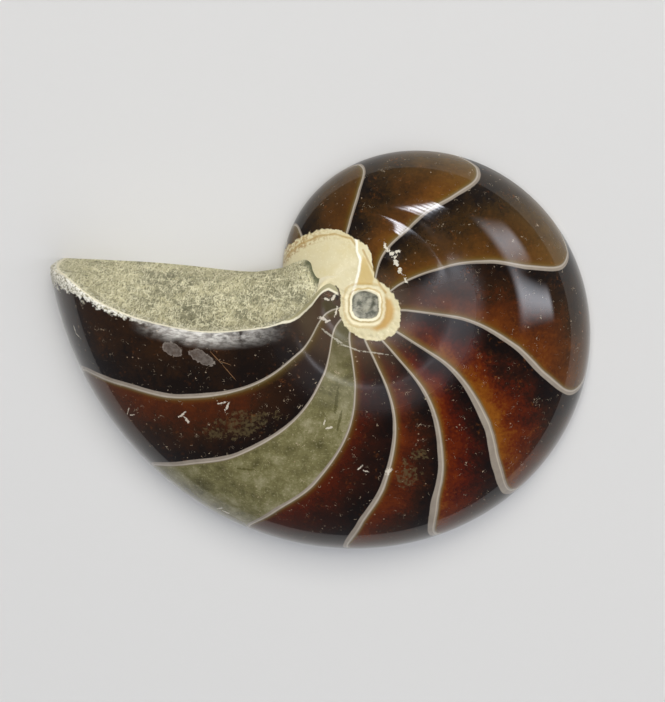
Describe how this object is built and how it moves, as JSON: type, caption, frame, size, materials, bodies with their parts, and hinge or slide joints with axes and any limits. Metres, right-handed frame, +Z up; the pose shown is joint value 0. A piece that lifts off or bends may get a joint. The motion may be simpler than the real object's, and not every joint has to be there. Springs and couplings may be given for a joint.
{
  "type": "fossil nautilus half",
  "caption": "Polished half of a coiled fossil nautilus, sawn flat on its plane of symmetry, with curved septum lines and a rough broken end. It lies on the flat cut.",
  "frame": {"origin": "middle of the bounding box, on the flat cut face", "axes": "+X along the length, with the broken tip towards -X; +Y from the belly towards the inner turn's crown; +Z up from the cut face, along the coiling axis"},
  "size_m": [0.0756, 0.0574, 0.0156],
  "materials": {
    "polished_fossil_stone": "polished calcite and ironstone, brown chambers with pale septum lines; rough grey-olive matrix on the broken end"
  },
  "bodies": {
    "root": {"nautilus_half": "polished_fossil_stone"}
  },
  "joints": []
}
